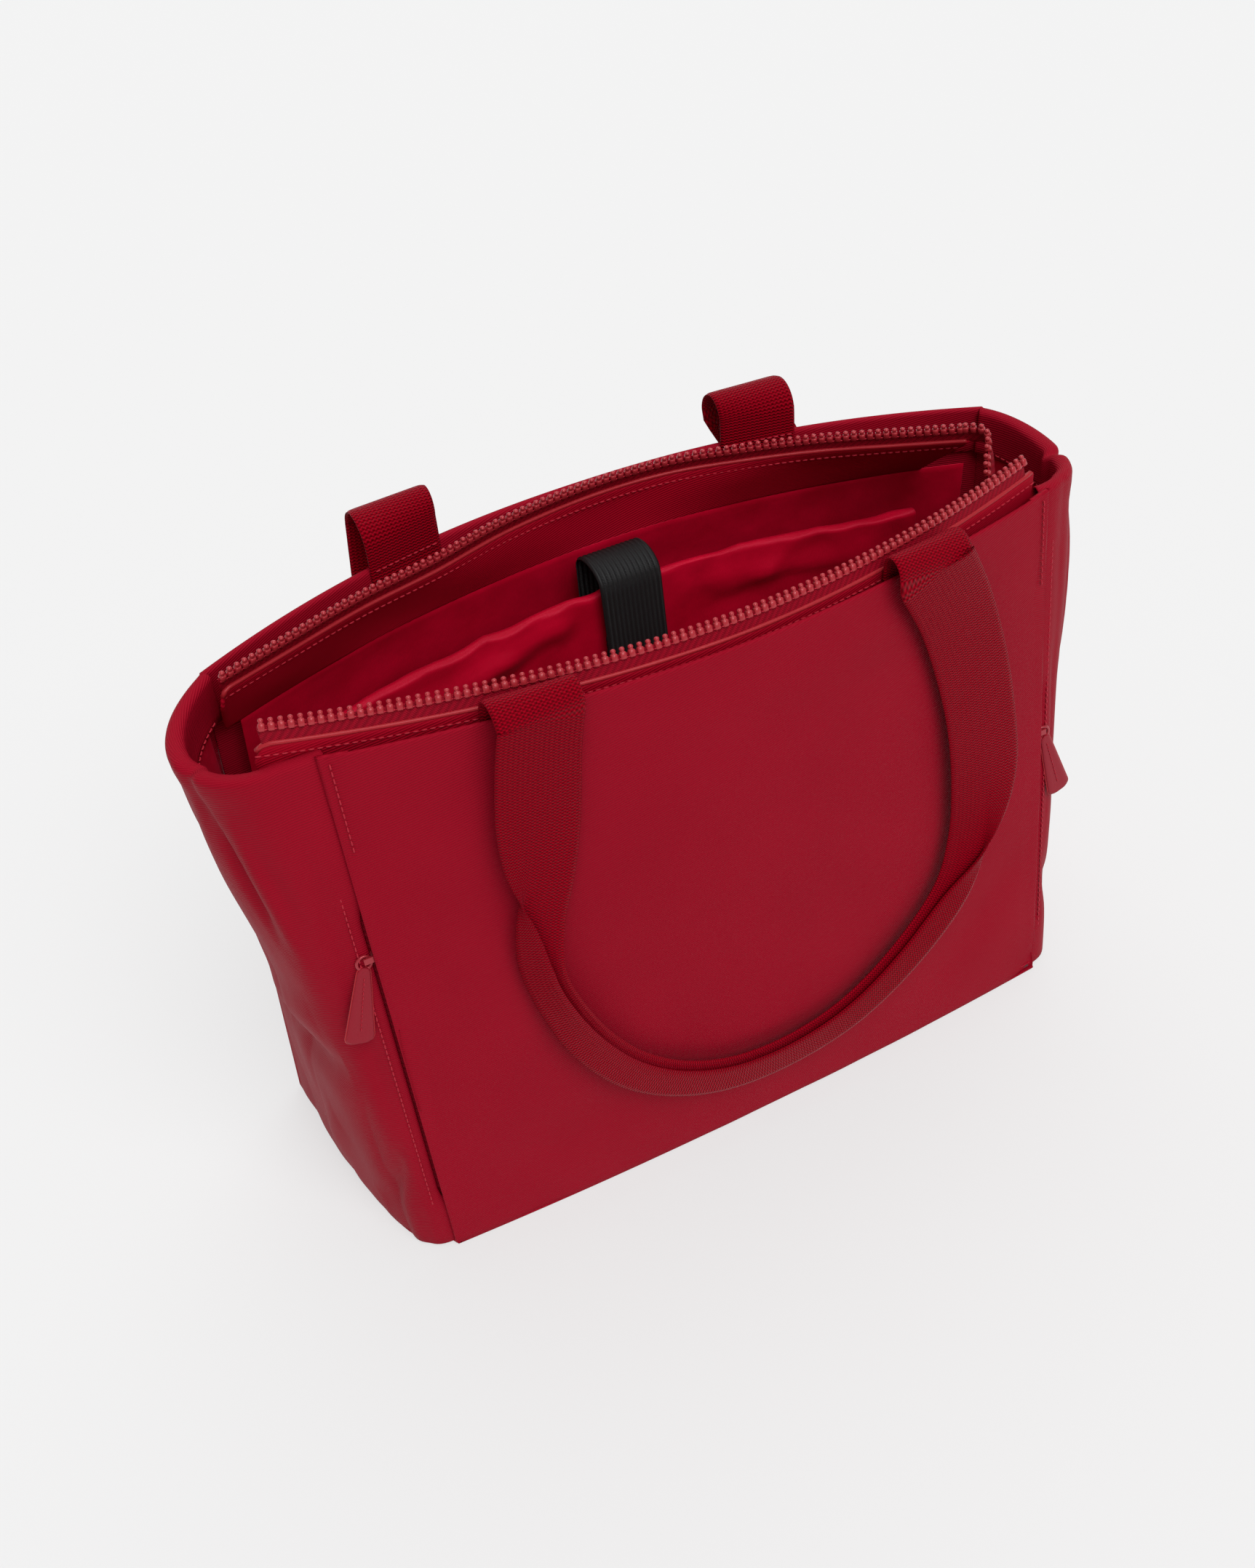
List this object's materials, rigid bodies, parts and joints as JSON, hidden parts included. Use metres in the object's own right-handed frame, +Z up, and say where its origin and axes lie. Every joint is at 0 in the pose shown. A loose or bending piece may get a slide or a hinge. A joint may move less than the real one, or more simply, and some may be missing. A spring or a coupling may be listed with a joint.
{
  "type": "zip-top tote bag",
  "caption": "Open-top coated-fabric tote bag with a zip-top closure, webbing handles, side pocket zips and a padded laptop sleeve inside.",
  "frame": {"origin": "centre of the bag's footprint on the surface it stands on", "axes": "+Z up, -Y is the front panel with the hanging handle, +X to the right seen from the front"},
  "size_m": [0.4318, 0.1832, 0.3113],
  "materials": {
    "coated_fabric": "matte coated twill",
    "lining_satin": "satin",
    "webbing": "silky woven webbing",
    "zip_tape": "woven tape",
    "zip_teeth": "moulded, semi-gloss",
    "edge_paint": "edge-painted leather",
    "slider_metal": "red enamel",
    "leather_pull": "coated leather",
    "elastic": "ribbed elastic",
    "hook_and_loop": "hook and loop pile",
    "foam": "closed-cell foam"
  },
  "bodies": {
    "body": {"back_panel": "coated_fabric", "left_gusset": "coated_fabric", "right_gusset": "coated_fabric", "base_panel": "coated_fabric", "base_pad": "foam", "base_lining": "lining_satin", "back_facing": "coated_fabric", "back_trim": "edge_paint", "back_zip_tape": "zip_tape", "back_zip_teeth": "zip_teeth", "back_lining": "lining_satin", "left_lining": "lining_satin", "right_lining": "lining_satin", "sleeve_cover": "lining_satin", "sleeve_foam": "foam", "sleeve_backing": "lining_satin", "sleeve_strap_anchor": "elastic", "sleeve_strap_bend": "elastic", "loop_patch": "hook_and_loop", "back_handle_anchors": "webbing", "back_handle_bends": "webbing"},
    "front": {"front_panel": "coated_fabric", "front_pocket_wall": "coated_fabric", "front_lining": "lining_satin", "front_facing": "coated_fabric", "front_trim": "edge_paint", "front_zip_tape": "zip_tape", "front_zip_teeth": "zip_teeth", "zip_end_tab": "zip_tape", "front_handle_anchors": "webbing", "front_handle_bends": "webbing", "left_side_tape": "zip_tape", "left_side_coil": "zip_teeth", "left_side_stop": "zip_teeth", "right_side_tape": "zip_tape", "right_side_coil": "zip_teeth", "right_side_stop": "zip_teeth"},
    "front_handle": {"front_handle": "webbing"},
    "back_handle": {"back_handle": "webbing"},
    "sleeve_strap": {"sleeve_strap": "elastic", "hook_patch": "hook_and_loop"},
    "main_slider": {"main_slider": "slider_metal"},
    "main_puller": {"main_ring": "slider_metal", "main_puller": "leather_pull"},
    "left_slider": {"left_slider": "slider_metal"},
    "left_puller": {"left_ring": "slider_metal", "left_puller": "leather_pull"},
    "right_slider": {"right_slider": "slider_metal"},
    "right_puller": {"right_ring": "slider_metal", "right_puller": "leather_pull"}
  },
  "joints": [
    {"name": "collapse", "type": "slide", "parent": "body", "child": "front", "axis": [0, 1, 0], "range_m": [0, 0.04], "deforming": ["left_gusset", "right_gusset", "base_panel", "base_pad", "base_lining", "left_lining", "right_lining", "back_facing", "back_trim", "back_zip_tape", "back_zip_teeth"]},
    {"name": "front_handle_swing", "type": "hinge", "parent": "front", "child": "front_handle", "pos_m": [0, -0.07, 0.2925], "axis": [-1, 0, 0], "range_deg": [0, 180], "deforming": ["front_handle_bends"]},
    {"name": "back_handle_swing", "type": "hinge", "parent": "body", "child": "back_handle", "pos_m": [0, 0.082, 0.301], "axis": [1, 0, 0], "range_deg": [0, 180], "deforming": ["back_handle_bends"]},
    {"name": "sleeve_strap_swing", "type": "hinge", "parent": "body", "child": "sleeve_strap", "pos_m": [0.002, 0.045, 0.26], "axis": [-1, 0, 0], "range_deg": [0, 150], "deforming": ["sleeve_strap_bend"]},
    {"name": "main_slider_slide", "type": "slide", "parent": "front", "child": "main_slider", "axis": [0, 0, 1], "range_m": [-0.012, 0.003]},
    {"name": "main_puller_swing", "type": "hinge", "parent": "main_slider", "child": "main_puller", "pos_m": [0.16, -0.0254, 0.274], "axis": [1, 0, 0], "range_deg": [0, 35]},
    {"name": "left_slider_slide", "type": "slide", "parent": "front", "child": "left_slider", "axis": [0, 0.1063, 0.9943], "range_m": [-0.1197, 0.0433]},
    {"name": "left_puller_swing", "type": "hinge", "parent": "left_slider", "child": "left_puller", "pos_m": [-0.1795, -0.05494, 0.18555], "axis": [0, 0.9943, -0.1063], "range_deg": [0, 90]},
    {"name": "right_slider_slide", "type": "slide", "parent": "front", "child": "right_slider", "axis": [0, 0.1063, 0.9943], "range_m": [-0.0895, 0.0735]},
    {"name": "right_puller_swing", "type": "hinge", "parent": "right_slider", "child": "right_puller", "pos_m": [0.1795, -0.05815, 0.15555], "axis": [0, -0.9943, 0.1063], "range_deg": [0, 90]}
  ]
}
